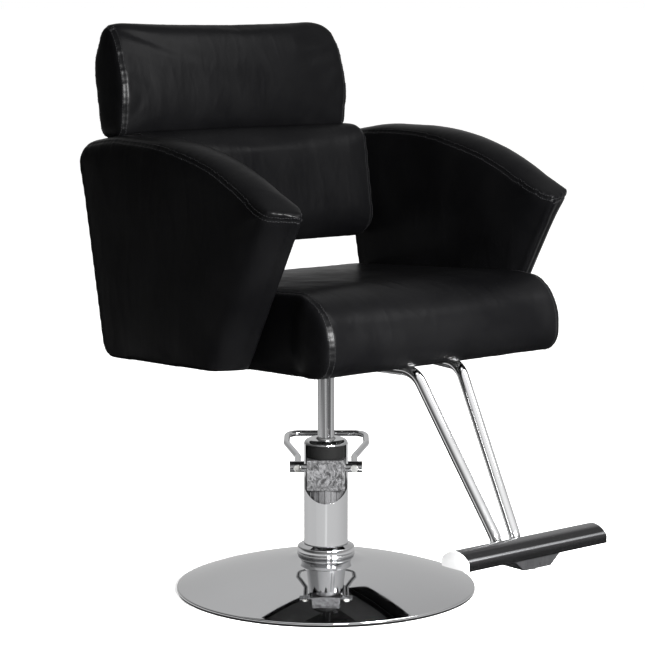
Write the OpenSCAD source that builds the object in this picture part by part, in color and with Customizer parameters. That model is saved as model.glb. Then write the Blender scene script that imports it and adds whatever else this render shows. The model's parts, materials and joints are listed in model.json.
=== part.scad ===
// Styling chair: upholstered seat, back, headrest and arms on a foot-pumped hydraulic column.
// The origin is on the floor at the middle of the round base. The chair faces -Y, and +Z is up.

/* [Base] */
// Radius of the round base
base_r = 250; // [240:1:265]
// Thickness of the spun base cover
base_skin = 2.2; // [1.8:0.1:2.6]
// Height of the base cover's rim above the floor
rim_h = 8.2; // [8:0.1:9]
// Rise of the base cover from its rim to the foot of its neck
base_rise = 44.5; // [43:0.5:46]
// Angle by which the pump is turned from the front of the chair
pump_yaw = -40; // [-60:1:0]

/* [Column] */
// Outer radius of the column cover tube
column_r = 37; // [36.5:0.1:38]
// Height of the top of the column cover
column_top = 256; // [256:1:258]
// Height of the pedal's pivot
pivot_z = 207.7; // [207:0.1:208.5]
// Radius of the piston rod
rod_r = 14; // [13.8:0.1:14]

/* [Pedal] */
// Radius of the pedal's bent rod
pedal_rod_r = 5.5; // [5:0.1:5.5]
// Reach of the pedal from its pivot to the middle of its cross bar
pedal_reach = 221; // [205:1:230]
// Half of the pedal loop's width
pedal_half_w = 69; // [60:1:72]
// Angle of the pedal above level when it is up
pedal_tilt = 4; // [2:0.5:6]

/* [Seat] */
// Half of the seat cushion's width
seat_half_w = 243; // [241:1:244]
// Height of the seat board's underside
board_z = 420.25; // [420.25:0.25:421]
// Thickness of the seat board
board_t = 15; // [12:1:16]

/* [Back] */
// Half of the width of the back and headrest cushions
back_half_w = 240; // [236:1:242]
// Lean of the back's steel bars from upright
back_lean = 21.2; // [21:0.1:21.4]

/* [Arms] */
// Distance of the arms' inner faces from the middle
arm_in = 246; // [246:1:250]
// Distance of the arms' outer faces from the middle
arm_out = 319; // [316:1:324]
// Height of the highest point of the arms
arm_top = 766; // [756:1:770]

/* [Footrest] */
// Half of the footrest bar's length, with its end caps
bar_half_l = 148.5; // [140:0.5:160]
// Radius of the footrest tubes
tube_r = 9.25; // [9:0.05:9.25]
// Height of the flat underside of the footrest bar
bar_z = 147.7; // [147:0.1:148]

/* [Hidden] */
$fn = 96;
arc_steps = 10;   // straight steps in each rounded corner of an outline
fit = 0.05;       // radial running clearance
snug = 0.02;      // radial clearance of pieces that are fixed together
through = 1;      // how far a cutter runs past a face
lap = 0.6;        // how far a straight length of rod or tube runs into the bend beside it
bend_grow = 0.02; // a bend is this much thicker than its straights

// Colours
black_leather = [0.06, 0.06, 0.065];
black_plastic = [0.05, 0.05, 0.05];
chrome = [0.82, 0.83, 0.85];
steel = [0.55, 0.56, 0.58];
cast_grey = [0.42, 0.42, 0.43];
bronze = [0.72, 0.55, 0.32];
plywood = [0.76, 0.62, 0.42];
graphite = [0.12, 0.12, 0.13];

// ---- Outlines with rounded corners -------------------------------------------------------------
// A corner is [x, y, radius], and a radius of 0 leaves it sharp.
function flat(p) = [p[0], p[1]];
function unit(v) = v / norm(v);
function turn(a) = a > 180 ? a - 360 : (a < -180 ? a + 360 : a);
function corner_arc(before, corner, after) =
    let (to_before = unit(flat(before) - flat(corner)),
         to_after = unit(flat(after) - flat(corner)),
         half = acos(to_before * to_after) / 2,
         centre = flat(corner) + unit(to_before + to_after) * corner[2] / sin(half),
         start = flat(corner) + to_before * corner[2] / tan(half) - centre,
         end = flat(corner) + to_after * corner[2] / tan(half) - centre,
         start_angle = atan2(start[1], start[0]),
         sweep = turn(atan2(end[1], end[0]) - start_angle))
    [for (i = [0 : arc_steps])
        centre + corner[2] * [cos(start_angle + sweep * i / arc_steps),
                              sin(start_angle + sweep * i / arc_steps)]];
function rounded(corners) =
    let (n = len(corners))
    [for (i = [0 : n - 1])
        each corners[i][2] == 0 ? [flat(corners[i])]
            : corner_arc(corners[(i + n - 1) % n], corners[i], corners[(i + 1) % n])];

// An outline in the YZ plane, extruded from x0 to x1
module across(x0, x1) {
    translate([x0, 0, 0]) rotate([90, 0, 90]) linear_extrude(x1 - x0) children();
}
// A round bar from x0 to x1 at height z and depth y
module cross_bar(r, x0, x1, y, z) {
    translate([x0, y, z]) rotate([0, 90, 0]) cylinder(r = r, h = x1 - x0);
}
// A round bar along Y
module fore_aft_bar(r, y0, y1, x, z) {
    translate([x, y0, z]) rotate([-90, 0, 0]) cylinder(r = r, h = y1 - y0);
}
// A bend of a round bar of radius r, about the Z axis, starting on the X axis
module bend(bend_r, r, angle) {
    rotate_extrude(angle = angle) translate([bend_r, 0]) circle(r = r + bend_grow);
}
module ring(r_out, r_in, z0, z1) {
    difference() {
        translate([0, 0, z0]) cylinder(r = r_out, h = z1 - z0);
        translate([0, 0, z0 - through]) cylinder(r = r_in, h = z1 - z0 + 2 * through);
    }
}
module block(x0, x1, y0, y1, z0, z1) {
    translate([x0, y0, z0]) cube([x1 - x0, y1 - y0, z1 - z0]);
}
module both_sides() {
    for (side = [0, 1]) mirror([side, 0, 0]) children();
}
module in_pump() {
    rotate([0, 0, pump_yaw]) children();
}

// ---- Base --------------------------------------------------------------------------------------
neck_start_r = 70;      // the cover flares up towards the collar inside this radius
neck_hole_r = 46;
neck_flare = 2.6;
cover_outer_r = base_r - 2;
cover_steps = 24;
function dome(t) = 1.45 * t - 0.45 * t * t;
function neck(r) = r < neck_start_r ? neck_flare * pow((neck_start_r - r) / 22, 2) : 0;
function cover_z(r) =
    rim_h + base_rise * dome((cover_outer_r - r) / (cover_outer_r - neck_start_r)) + neck(r);
function cover_r(i) = neck_hole_r + (cover_outer_r - neck_hole_r) * i / cover_steps;
cover_bottom = 1;

module base_cover() {
    top = [for (i = [0 : cover_steps]) [cover_r(i), cover_z(cover_r(i))]];
    under = [for (i = [cover_steps : -1 : 0]) [cover_r(i), cover_z(cover_r(i)) - base_skin]];
    color(chrome) rotate_extrude($fn = 160)
        polygon(concat(top, [[base_r, rim_h - 2.4], [base_r, cover_bottom],
            [base_r - base_skin, cover_bottom], [base_r - base_skin, rim_h - 2.6]], under));
}
module floor_ring() {
    color(black_plastic) ring(base_r - 3, base_r - 14, 0, 5);
}
plate_r = 212;
plate_z = 4;
plate_top = 14;
foot_top = 24;
foot_bolt_circle = 55;
module at_foot_bolts() {
    for (i = [0 : 3]) rotate([0, 0, 45 + 90 * i]) translate([foot_bolt_circle, 0, 0]) children();
}
module ballast_plate() {
    color(steel) difference() {
        translate([0, 0, plate_z]) cylinder(r = plate_r, h = plate_top - plate_z);
        in_pump() at_foot_bolts() translate([0, 0, plate_z - through]) cylinder(r = 5 + snug, h = 12);
    }
}
module pump_foot() {
    color(cast_grey) in_pump() difference() {
        translate([0, 0, plate_top + snug]) cylinder(r = 68, h = foot_top - plate_top - snug);
        at_foot_bolts() translate([0, 0, plate_top - through]) cylinder(r = 5.5, h = 12);
        translate([0, 0, tube_foot]) cylinder(r = 18 + snug, h = 12);
    }
}
module base_bolts() {
    color(steel) in_pump() at_foot_bolts() {
        translate([0, 0, plate_z + 2]) cylinder(r = 5, h = foot_top - plate_z - 2);
        translate([0, 0, foot_top]) cylinder(r = 9, h = 6.4, $fn = 6);
    }
}
collar_z = 59;
module base_collar() {
    color(chrome) rotate_extrude()
        polygon(rounded([[column_r + 0.1, collar_z, 0], [48.5, collar_z, 1.5], [48.5, 64, 1.5],
            [46.2, 65, 0.4], [48, 66.2, 1], [48, 75, 2.5], [39.5, 79, 1],
            [column_r + 0.1, 79, 0]]));
}

// ---- Column and pump, with the pump's front to -Y before it is turned ------------------------------
column_wall = 2;
window_low = 151.6;     // lowest point of the rounded window in the column cover
window_r = 39.3;
window_top = 248;
window_depth = 8;       // the window removes the tube in front of this distance from its axis
stub_r = 9.5;
stub_hole_r = 10.3;

module window_cutter() {
    translate([0, -window_depth, 0]) rotate([90, 0, 0]) linear_extrude(50) union() {
        translate([0, window_low + window_r]) circle(r = window_r);
        translate([-45, window_low + window_r]) square([90, window_top - window_low - window_r]);
    }
}
module column_cover() {
    inner_r = column_r - column_wall;
    color(chrome) in_pump() difference() {
        rotate_extrude() polygon(rounded([[16, column_top, 0.8], [column_r, column_top, 9],
            [column_r, foot_top, 0], [inner_r, foot_top, 0], [inner_r, 252, 6.5], [16, 252, 0]]));
        window_cutter();
        cross_bar(stub_hole_r, -60, 60, 0, pivot_z);
    }
}
tube_foot = 18;         // underside of the pressure tube, in the foot
reservoir_top = 174.5;
reservoir_r = 31.5;
module pump_cylinder() {
    ribs = 20;
    color(cast_grey) in_pump() difference() {
        union() {
            translate([0, 0, foot_top]) cylinder(r = reservoir_r, h = reservoir_top - foot_top);
            for (i = [0 : ribs - 1]) rotate([0, 0, 360 / ribs * i])
                block(reservoir_r - 1, reservoir_r + 1.6, -1.4, 1.4, foot_top + 8, reservoir_top - 0.5);
        }
        translate([0, 0, foot_top - through]) cylinder(r = 28, h = reservoir_top);
    }
}
pressure_r = 18;
bore_r = 16;
head_floor_top = 181;
module pressure_tube() {
    color(steel) ring(pressure_r, bore_r, tube_foot, head_floor_top);
}
module foot_valve() {
    color(bronze) ring(bore_r - snug, 3, tube_foot, 23.5);
}
module gland_bush() {
    color(bronze) ring(bore_r - snug, rod_r + fit, 163, head_floor_top);
}
head_half_w = 31.5;
head_front = 36;
head_top = 225;
head_cavity_top = 216.5;
plunger_y = 23.3;
plunger_r = 3.5;
module pump_head() {
    color(cast_grey) in_pump() difference() {
        union() {
            block(-head_half_w, head_half_w, -head_front, -2, reservoir_top, head_top);
            translate([0, 0, reservoir_top]) cylinder(r = 33.5, h = head_top - reservoir_top);
        }
        block(-26, 26, -head_front - through, -head_front + 1.2, reservoir_top + 5, head_top - 5);
        translate([0, 0, head_floor_top]) cylinder(r = 28.5, h = head_cavity_top - head_floor_top);
        translate([0, 0, reservoir_top - through]) cylinder(r = pressure_r + snug, h = 12);
        translate([0, 0, head_cavity_top - through]) cylinder(r = 17 + snug, h = 12);
        translate([0, plunger_y, reservoir_top - through]) cylinder(r = plunger_r + fit, h = 12);
        cross_bar(stub_r + fit, -60, 60, 0, pivot_z);
    }
}
cap_top = 247.5;
module pump_cap() {
    color(black_plastic) in_pump() ring(33, 17 + snug, head_top, cap_top);
}
module rod_guide() {
    color(bronze) ring(17, rod_r + fit, head_cavity_top, cap_top);
}
module rod_wiper() {
    color(black_plastic) rotate_extrude() polygon(rounded([[rod_r + fit, 252.2, 0],
        [16 - snug, 252.2, 0], [16 - snug, column_top + 1, 1], [rod_r + fit, column_top + 2, 0]]));
}

// ---- Pedal: it turns about the pivot, whose axis is X before the pump is turned ---------------------
stub_inner = 26.6;
stub_outer = 60.5;
spigot_r = 5;
spigot_inner = 19.6;
clamp_x = 47.5;         // distance of the clamped rod ends from the middle
lever_start = -2;
lever_bend = 63;        // where the rods start to spread
lever_wide = 153;       // where they run parallel again
loop_corner_r = 22;

module pivot_shafts() {
    color(chrome) in_pump() both_sides() difference() {
        union() {
            cross_bar(stub_r, stub_inner, stub_outer, 0, pivot_z);
            cross_bar(spigot_r, spigot_inner, stub_inner + 1, 0, pivot_z);
        }
        tilt_pedal() fore_aft_bar(pedal_rod_r + snug, -20, 20, clamp_x, 0);
    }
}
module tilt_pedal() {
    translate([0, 0, pivot_z]) rotate([pedal_tilt, 0, 0]) children();
}
module pump_yoke() {
    yoke_in = 18.5;
    yoke_out = 26;
    yoke_t = 10;
    color(steel) in_pump() difference() {
        union() {
            intersection() {
                ring(yoke_out, yoke_in, pivot_z - yoke_t / 2, pivot_z + yoke_t / 2);
                block(-30, 30, 0, 30, pivot_z - yoke_t, pivot_z + yoke_t);
            }
            both_sides() cross_bar(8, yoke_in, yoke_out, 0, pivot_z);
        }
        cross_bar(spigot_r + snug, -30, 30, 0, pivot_z);
    }
}
// A round bar between two points of the pedal's plane
module pedal_bar(a, b) {
    run = b - a;
    translate([a[0], a[1], 0]) rotate([0, 0, atan2(run[1], run[0])]) rotate([0, 90, 0])
        cylinder(r = pedal_rod_r, h = norm(run));
}
module pedal_side() {
    clamp_end = [clamp_x, lever_start];
    bend_at = [clamp_x, lever_bend];
    wide = [pedal_half_w, lever_wide];
    loop_start = [pedal_half_w, pedal_reach - loop_corner_r + lap];
    knee_r = pedal_rod_r + bend_grow;
    pedal_bar(clamp_end, bend_at);
    translate(bend_at) sphere(r = knee_r);
    pedal_bar(bend_at, wide);
    translate(wide) sphere(r = knee_r);
    pedal_bar(wide, loop_start);
    translate([pedal_half_w - loop_corner_r, pedal_reach - loop_corner_r, 0])
        bend(loop_corner_r, pedal_rod_r, 90);
}
module pedal_lever() {
    cross_half = pedal_half_w - loop_corner_r + lap;
    color(chrome) in_pump() tilt_pedal() {
        both_sides() pedal_side();
        cross_bar(pedal_rod_r, -cross_half, cross_half, pedal_reach, 0);
    }
}
module clamp_screws() {
    color(chrome) in_pump() tilt_pedal() both_sides() {
        fore_aft_bar(pedal_rod_r, -stub_r - 0.1, lever_start - 0.5, clamp_x, 0);
        translate([clamp_x, -stub_r - 4.5 - snug, 0]) rotate([-90, 0, 0])
            cylinder(r = 6.6, h = 4.5, $fn = 6);
    }
}

// ---- Pump plunger, pushed down by the yoke -----------------------------------------------------------
plunger_top = 201.7;
spring_top = 197;
module plunger() {
    color(steel) in_pump() translate([0, plunger_y, 0]) {
        translate([0, 0, 158]) cylinder(r = plunger_r, h = plunger_top - 158 - 1);
        translate([0, 0, spring_top]) cylinder(r = 5, h = 2.5);
        translate([0, 0, plunger_top - 2.6]) intersection() {
            cylinder(r = plunger_r, h = 2.6);
            translate([0, 0, -4.4]) sphere(r = 7);
        }
    }
}
spring_coils = 5;
coil_steps = 16;        // straight steps in each coil
wire_sides = 6;
wire_r = 0.45;
coil_r = 4.2;
module plunger_spring() {
    steps = spring_coils * coil_steps;
    low = head_floor_top + wire_r + snug;
    high = spring_top - wire_r - snug;
    points = [for (i = [0 : steps], k = [0 : wire_sides - 1])
        let (a = 360 * i / coil_steps, b = 360 * k / wire_sides, r = coil_r + wire_r * cos(b))
        [r * cos(a), r * sin(a), low + (high - low) * i / steps + wire_r * sin(b)]];
    sides = [for (i = [0 : steps - 1], k = [0 : wire_sides - 1])
        let (here = i * wire_sides, next = here + wire_sides, m = (k + 1) % wire_sides)
        [here + k, next + k, next + m, here + m]];
    start = [for (k = [0 : wire_sides - 1]) k];
    end = [for (k = [wire_sides - 1 : -1 : 0]) steps * wire_sides + k];
    color(steel) in_pump() translate([0, plunger_y, 0])
        polyhedron(points = points, faces = concat([start, end], sides));
}

// ---- Piston, inside the pressure tube ------------------------------------------------------------------
piston_z = 112;
piston_top = 124;
washer_top = 126;
rod_spigot_r = 8;
groove_r = 13.6;
module piston_head() {
    color(steel) difference() {
        translate([0, 0, piston_z]) cylinder(r = bore_r - fit, h = piston_top - piston_z);
        translate([0, 0, piston_z - through]) cylinder(r = rod_spigot_r + fit, h = 20);
        for (z = [114, 119]) ring(bore_r + 1, groove_r, z, z + 3);
    }
}
module piston_seals() {
    color(black_plastic) for (z = [114, 119]) ring(bore_r - 0.03, groove_r + snug, z + 0.02, z + 2.98);
}
module thrust_washer() {
    color(bronze) ring(rod_r, rod_spigot_r + fit, piston_top, washer_top - snug);
}
rod_top = 412;
module piston_rod() {
    color(chrome) {
        translate([0, 0, washer_top]) cylinder(r = rod_r, h = rod_top - washer_top);
        translate([0, 0, piston_z + 0.5]) cylinder(r = rod_spigot_r, h = washer_top - piston_z);
    }
}

// ---- Seat frame -------------------------------------------------------------------------------------------
bracket_t = 5;
hub_z = 366;
hub_r = 24;
screw_r = 4;            // M8 screws into the seat board
bracket_holes = [85, 58];
module at_bracket_holes() {
    for (x = [-1, 1], y = [-1, 1]) translate([x * bracket_holes[0], y * bracket_holes[1], 0]) children();
}
module seat_bracket() {
    plate_low = board_z - bracket_t;
    color(graphite) difference() {
        union() {
            translate([0, 0, plate_low]) linear_extrude(bracket_t)
                polygon(rounded([[-105, -78, 12], [105, -78, 12], [105, 78, 12], [-105, 78, 12]]));
            translate([0, 0, hub_z]) cylinder(r = hub_r, h = plate_low - hub_z + 1);
            for (i = [0 : 3]) rotate([0, 0, 45 + 90 * i]) translate([0, 2.5, plate_low]) rotate([90, 0, 0])
                linear_extrude(5) polygon([[10, 1], [72, 1], [72, -5], [hub_r, -36], [10, -36]]);
        }
        translate([0, 0, hub_z - through]) cylinder(r = rod_r + snug, h = rod_top + 0.5 - hub_z + through);
        at_bracket_holes() translate([0, 0, plate_low - through]) cylinder(r = 4.5, h = 10);
    }
}
// A hexagon-head screw pointing up, with the underside of its head at height z
module board_screw(z) {
    translate([0, 0, z - 5.3]) cylinder(r = 7.4, h = 5.3, $fn = 6);
    translate([0, 0, z - 0.1]) cylinder(r = screw_r, h = board_z + 12 - z);
}
module bracket_bolts() {
    color(steel) at_bracket_holes() board_screw(board_z - bracket_t);
}
board_half_w = 220;
board_front = -278;
board_back = 200;
rail_in = 200;
rail_front = -170;
rail_back = 150;
rail_top = 475;
seat_bolt_y = [-90, 110];
seat_bolt_z = 457;
footplate_half_w = 108;
footplate_front = -236;
footplate_back = -96;
footplate_t = 3;
module at_footplate_holes() {
    for (x = [-97, 97], y = [-222, -110]) translate([x, y, 0]) children();
}
module seat_board() {
    color(black_plastic) difference() {
        translate([0, 0, board_z]) linear_extrude(board_t) polygon(rounded([
            [-board_half_w, board_front, 10], [board_half_w, board_front, 10],
            [board_half_w, board_back, 10], [-board_half_w, board_back, 10]]));
        at_bracket_holes() translate([0, 0, board_z - through]) cylinder(r = screw_r + snug, h = 20);
        at_footplate_holes() translate([0, 0, board_z - through]) cylinder(r = screw_r + snug, h = 20);
    }
}
arm_bolt_r = 5;
module seat_rails() {
    color(plywood) both_sides() difference() {
        block(rail_in, board_half_w, rail_front, rail_back, board_z + board_t, rail_top);
        for (y = seat_bolt_y) cross_bar(arm_bolt_r + snug, rail_in - 1, board_half_w + 1, y, seat_bolt_z);
    }
}

// ---- Upholstery: plain solids with the cushions' sizes ---------------------------------------------------
seat_outline = rounded([[-302.5, 413.4, 37], [-302.5, 544.5, 78], [222, 515, 32], [214, 392.5, 24]]);
clear = 0.5;            // room between a board and the cushion over it
module seat_cushion() {
    pocket_top = board_z + board_t + clear;
    color(black_leather) difference() {
        across(-seat_half_w, seat_half_w) polygon(seat_outline);
        block(-board_half_w - clear, board_half_w + clear, board_front - clear, board_back + clear,
            370, pocket_top);
        both_sides() block(rail_in - 14, board_half_w + clear, rail_front - clear, rail_back + clear,
            pocket_top - 1, rail_top + clear);
        both_sides() for (y = seat_bolt_y)
            cross_bar(arm_bolt_r + clear, board_half_w - 1, seat_half_w + 1, y, seat_bolt_z);
    }
}
// The arm seen from the side: a long arched top that falls to the front, and edges that lean forward
arm_tip = [-268, 660];
arm_heel = [186.4, 402.5];
arm_toe = [-133, 413.7];
arm_back_top = [257, arm_top - 15];
arm_outline = rounded([[arm_tip[0], arm_tip[1], 12], [-95, arm_top, 550], [160, arm_top, 300],
    [arm_back_top[0], arm_back_top[1], 26], [arm_heel[0], arm_heel[1], 30], [arm_toe[0], arm_toe[1], 20]]);
arm_lean = atan2(arm_toe[0] - arm_tip[0], arm_tip[1] - arm_toe[1]);
tip_x = 263;            // the arm narrows to its tip here
core_in = 273.2;
core_out = 291.2;
function core_corners(grow) = [[-205 - grow, 655, 20], [-75, 730 + grow, 450], [228 + grow, 730 + grow, 30],
    [165 + grow, 440 - grow, 20], [-115 - grow, 450 - grow, 15]];
stud_r = 4;
stud_spots = [[-10, -25], [-10, 50]];   // depth and height of the studs in the back's leaning frame
module in_back() {
    translate([0, 203, 658]) rotate([-back_lean, 0, 0]) children();
}
module arm_panel() {
    difference() {
        intersection() {
            across(arm_in, arm_out) polygon(arm_outline);
            translate([0, arm_tip[0], arm_tip[1]]) rotate([arm_lean, 0, 0]) translate([0, 0, -400])
                linear_extrude(800) polygon(rounded([[tip_x, 0, 4], [arm_out, 24, 24], [arm_out, 620, 0],
                    [arm_in, 620, 0], [arm_in, 34, 60]]));
        }
        across(core_in - 0.2, core_out + 0.2) polygon(rounded(core_corners(0.3)));
        for (y = seat_bolt_y) cross_bar(arm_bolt_r + clear, arm_in - 1, core_in + 1, y, seat_bolt_z);
        in_back() for (s = stud_spots) cross_bar(stud_r + clear, arm_in - 1, core_in + 1, s[0], s[1]);
    }
}
module arm_core() {
    difference() {
        across(core_in, core_out) polygon(rounded(core_corners(0)));
        for (y = seat_bolt_y) cross_bar(arm_bolt_r + snug, core_in - 1, core_out + 1, y, seat_bolt_z);
        in_back() for (s = stud_spots) cross_bar(stud_r + snug, core_in - 1, core_out + 1, s[0], s[1]);
    }
}
module arm_right() { color(black_leather) arm_panel(); }
module arm_left() { color(black_leather) mirror([1, 0, 0]) arm_panel(); }
module arm_core_right() { color(plywood) arm_core(); }
module arm_core_left() { color(plywood) mirror([1, 0, 0]) arm_core(); }
bolt_end = 288;
module arm_bolts() {
    color(steel) both_sides() for (y = seat_bolt_y) {
        cross_bar(arm_bolt_r, rail_in - 0.1, bolt_end, y, seat_bolt_z);
        translate([rail_in - 6.4, y, seat_bolt_z]) rotate([0, 90, 0]) cylinder(r = 9, h = 6.4, $fn = 6);
    }
}
stud_start = 196;
module back_studs() {
    color(steel) in_back() both_sides() for (s = stud_spots)
        cross_bar(stud_r, stud_start, bolt_end, s[0], s[1]);
}

// ---- Back and headrest, on two steel bars that lean back -----------------------------------------------
bar_x = 120;
bar_half_w = 12.5;
bar_half_t = 2.5;
bars_low = -62;
bars_high = 262;
back_board_half_w = 225;
back_board_t = 15;
back_board_low = -42;
back_board_high = 68;
head_board_half_w = 215;
head_board_t = 12;
head_board_low = 128;
head_board_high = 238;
back_screws = [-20, 42];
head_screws = [150, 216];
bar_screw_r = 3;
back_outline = rounded([[149, 566, 42], [178, 763, 32], [251, 748, 24], [226, 568, 26]]);
head_outline = rounded([[231, 754, 26], [243, 890, 70], [289, 958, 18], [318, 888, 60], [303, 754, 34]]);

module back_board() {
    color(plywood) in_back() difference() {
        block(-back_board_half_w, back_board_half_w, -bar_half_t - back_board_t, -bar_half_t,
            back_board_low, back_board_high);
        both_sides() for (s = stud_spots)
            cross_bar(stud_r + snug, stud_start - 1, back_board_half_w + 1, s[0], s[1]);
        for (x = [-bar_x, bar_x], z = back_screws) fore_aft_bar(bar_screw_r + snug, -20, 0, x, z);
    }
}
module headrest_board() {
    color(plywood) in_back() difference() {
        block(-head_board_half_w, head_board_half_w, bar_half_t, bar_half_t + head_board_t,
            head_board_low, head_board_high);
        for (x = [-bar_x, bar_x], z = head_screws) fore_aft_bar(bar_screw_r + snug, 0, 20, x, z);
    }
}
module back_bars() {
    color(steel) in_back() for (x = [-bar_x, bar_x]) difference() {
        block(x - bar_half_w, x + bar_half_w, -bar_half_t, bar_half_t, bars_low, bars_high);
        for (z = concat(back_screws, head_screws)) fore_aft_bar(bar_screw_r + 0.3, -5, 5, x, z);
    }
}
module bar_screws() {
    color(steel) in_back() for (x = [-bar_x, bar_x]) {
        for (z = back_screws) {
            fore_aft_bar(bar_screw_r, -14, bar_half_t + 0.1, x, z);
            fore_aft_bar(5.5, bar_half_t, bar_half_t + 3.5, x, z);
        }
        for (z = head_screws) {
            fore_aft_bar(bar_screw_r, -bar_half_t - 0.1, 12, x, z);
            fore_aft_bar(5.5, -bar_half_t - 3.5, -bar_half_t, x, z);
        }
    }
}
module bar_slots(z0, z1) {
    for (x = [-bar_x, bar_x])
        block(x - bar_half_w - clear, x + bar_half_w + clear, -6, 6.5, z0, z1);
}
module back_cushion() {
    color(black_leather) difference() {
        across(-back_half_w, back_half_w) polygon(back_outline);
        in_back() {
            block(-back_board_half_w - clear, back_board_half_w + clear,
                -bar_half_t - back_board_t - clear, -bar_half_t + clear,
                back_board_low - clear, back_board_high + clear);
            bar_slots(bars_low - clear, bars_high);
            both_sides() for (s = stud_spots)
                cross_bar(stud_r + clear, back_board_half_w, back_half_w + 1, s[0], s[1]);
        }
    }
}
module headrest_cushion() {
    color(black_leather) difference() {
        across(-back_half_w, back_half_w) polygon(head_outline);
        in_back() {
            block(-head_board_half_w - clear, head_board_half_w + clear,
                bar_half_t - clear, bar_half_t + head_board_t + clear,
                head_board_low - clear, head_board_high + clear);
            bar_slots(bars_low, bars_high + clear);
        }
    }
}

// ---- Footrest -----------------------------------------------------------------------------------------------
// Each tube lies in an upright plane. Reach is measured in that plane, forwards from the point
// where the line of the sloping length passes plane_height.
plane_height = 405;
plane_x = 46.6;
plane_y = -275.5;
foot_x = 19.8;          // where the sloping length would meet foot_height
foot_y = -429.3;
foot_height = 165;
plane_run = norm([plane_x - foot_x, plane_y - foot_y]);
plane_turn = atan2(plane_x - foot_x, plane_y - foot_y);
slope = atan2(plane_run, plane_height - foot_height);
level_z = board_z - footplate_t - tube_r;
level_start = -178;
top_bend_r = 40;
low_bend_r = 30;
slope_rate = tan(slope);
top_corner = (plane_height - level_z) * slope_rate;
low_corner = 156.3;
low_corner_z = plane_height - low_corner / slope_rate;
top_tangent = top_bend_r * tan((90 - slope) / 2);
low_tangent = low_bend_r * tan(slope / 2);
tube_wall = 1.6;
bracket_low = 130.5;
bracket_wall = 3;

// The tube's path with radius r, in its plane: X is the reach and Z is up
module tube_path(r) {
    slope_len = norm([low_corner - top_corner, level_z - low_corner_z]) - top_tangent - low_tangent;
    tube_end = bracket_low + bracket_wall;
    translate([level_start, 0, level_z]) rotate([0, 90, 0])
        cylinder(r = r, h = top_corner - top_tangent - level_start + lap);
    translate([top_corner - top_tangent, 0, level_z - top_bend_r]) rotate([90, 0, 0])
        rotate([0, 0, slope]) bend(top_bend_r, r, 90 - slope);
    translate([top_corner, 0, level_z]) rotate([0, 180 - slope, 0])
        translate([0, 0, top_tangent - lap]) cylinder(r = r, h = slope_len + 2 * lap);
    translate([low_corner - low_bend_r, 0, low_corner_z - low_tangent]) rotate([90, 0, 0])
        bend(low_bend_r, r, slope);
    translate([low_corner, 0, tube_end])
        cylinder(r = r, h = low_corner_z - low_tangent - tube_end + lap);
}
module footrest_tube() {
    translate([plane_x, plane_y, 0]) rotate([0, 0, -90 - plane_turn]) difference() {
        tube_path(tube_r);
        tube_path(tube_r - tube_wall);
    }
}
module footrest_tube_right() { color(chrome) footrest_tube(); }
module footrest_tube_left() { color(chrome) mirror([1, 0, 0]) footrest_tube(); }
module footrest_plate() {
    color(graphite) difference() {
        block(-footplate_half_w, footplate_half_w, footplate_front, footplate_back,
            board_z - footplate_t, board_z);
        at_footplate_holes() translate([0, 0, board_z - 5]) cylinder(r = 4.5, h = 10);
    }
}
module footrest_bolts() {
    color(steel) at_footplate_holes() board_screw(board_z - footplate_t);
}
bar_front = -503.5;
bar_back = -446;
bar_side_h = 12.3;      // height of the bar's upright front and back faces
bar_dome_h = 14.5;
bar_wall = 2.5;
cap_t = 3;
bracket_front = -499;
bracket_back = -416;
bracket_screws_y = [-488, -460];

// The bar's D-shaped section, drawn in from its outside by inset
module bar_section(inset) {
    mid = (bar_front + bar_back) / 2;
    half = (bar_back - bar_front) / 2 - inset;
    rise = bar_dome_h - inset / 2;
    r = (half * half + rise * rise) / (2 * rise);
    low = bar_z + inset;
    shoulder = bar_z + bar_side_h;
    steps = 24;
    sweep = asin(half / r);
    dome = [for (i = [0 : steps])
        let (a = sweep - 2 * sweep * i / steps)
        [mid + r * sin(a), shoulder + rise - r + r * cos(a)]];
    polygon(concat([[mid - half, low], [mid + half, low]], dome));
}
module footrest_bar() {
    color(graphite) difference() {
        across(cap_t - bar_half_l, bar_half_l - cap_t) bar_section(0);
        across(cap_t - bar_half_l - through, bar_half_l - cap_t + through) bar_section(bar_wall);
        for (y = bracket_screws_y) translate([0, y, bar_z - through]) cylinder(r = 3 + snug, h = 6);
    }
}
module end_cap() {
    across(bar_half_l - cap_t, bar_half_l) bar_section(0);
    across(bar_half_l - cap_t - 8, bar_half_l - cap_t + 0.1) bar_section(bar_wall + 0.1);
}
module end_cap_right() { color(chrome) end_cap(); }
module end_cap_left() { color(chrome) mirror([1, 0, 0]) end_cap(); }
// A trough with sloping sides and a closed front, under the bar
trough_top_w = 48;
trough_low_w = 28;
module trough(y0, y1, inset) {
    translate([0, y1, 0]) rotate([90, 0, 0]) linear_extrude(y1 - y0) polygon([
        [-trough_low_w + inset / 2, bracket_low + inset], [trough_low_w - inset / 2, bracket_low + inset],
        [trough_top_w - inset * 1.3, bar_z + (inset > 0 ? 1 : 0)],
        [-trough_top_w + inset * 1.3, bar_z + (inset > 0 ? 1 : 0)]]);
}
module footrest_bracket() {
    color(graphite) difference() {
        trough(bracket_front, bracket_back, 0);
        trough(bracket_front + bracket_wall, bracket_back + through, bracket_wall);
        for (y = bracket_screws_y) translate([0, y, bracket_low - through]) cylinder(r = 3.3, h = 6);
    }
}
module footrest_screws() {
    color(steel) for (y = bracket_screws_y) {
        translate([0, y, bracket_low - 3]) cylinder(r = 5.5, h = 3);
        translate([0, y, bracket_low - 0.1]) cylinder(r = 3, h = 26);
    }
}

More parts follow.
